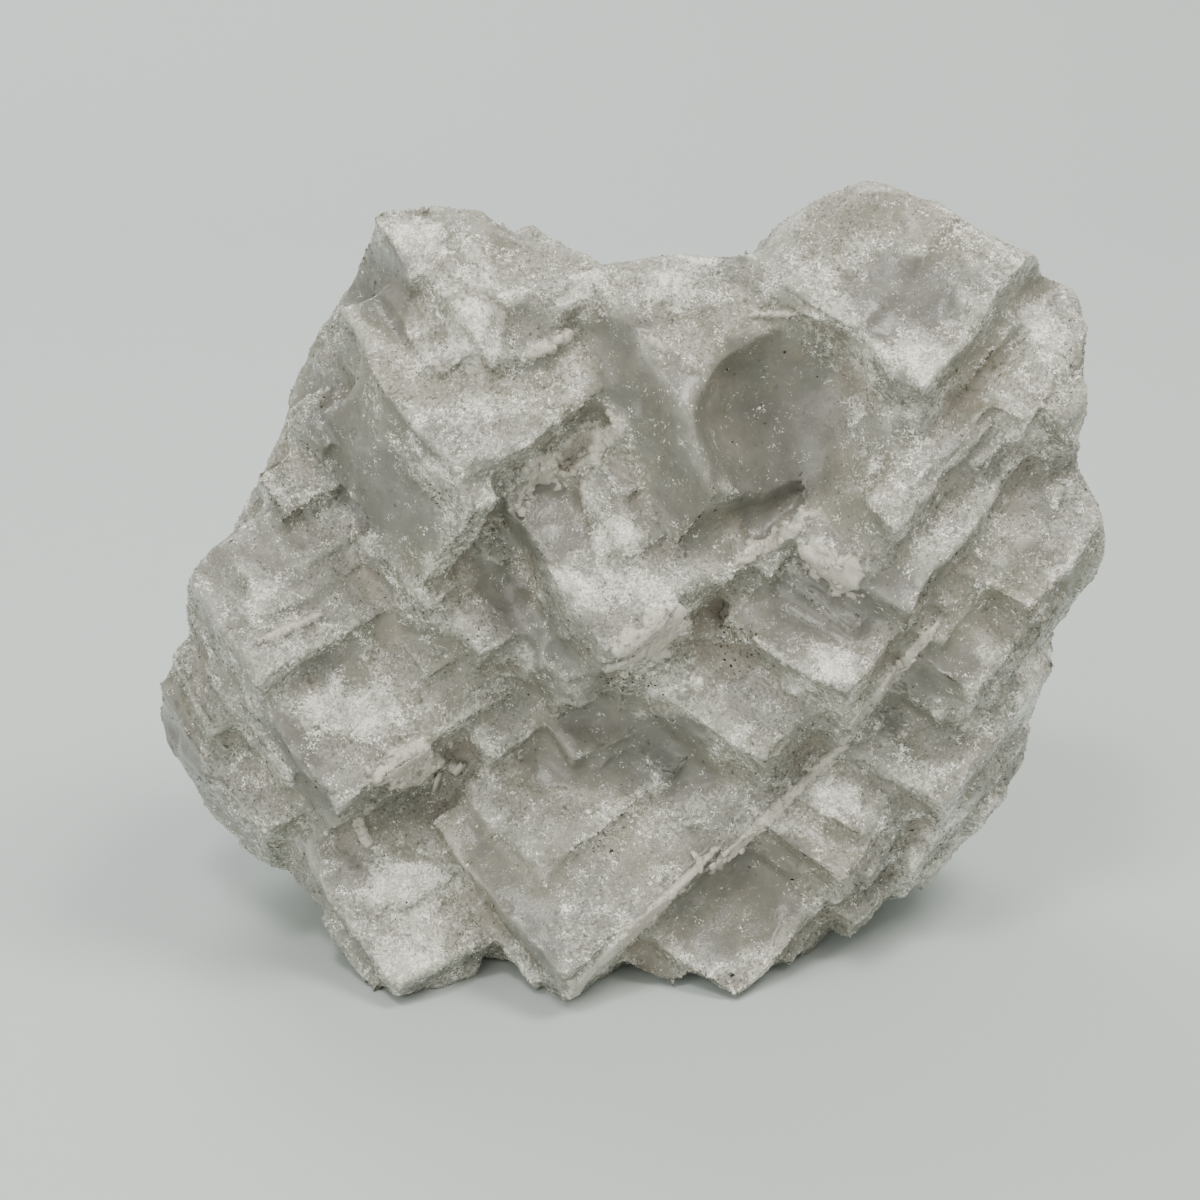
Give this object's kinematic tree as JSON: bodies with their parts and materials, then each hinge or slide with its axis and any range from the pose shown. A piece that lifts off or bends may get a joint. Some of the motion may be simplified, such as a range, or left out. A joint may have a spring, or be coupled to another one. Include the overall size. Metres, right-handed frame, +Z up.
{
  "type": "druzy fluorite specimen",
  "caption": "Milky grey fluorite specimen of stepped, intergrown cubes under a fine druzy crust, with a smooth hollow and a flat base to stand on.",
  "frame": {"origin": "on the resting plane, under the middle of the specimen", "axes": "+Z up from the resting plane, -Y towards the showing side, +X to the right as seen from that side"},
  "size_m": [0.0862, 0.047, 0.0706],
  "materials": {
    "fluorite": "milky, finely crystalline, satin"
  },
  "bodies": {
    "root": {"fluorite_cluster": "fluorite"}
  },
  "joints": []
}
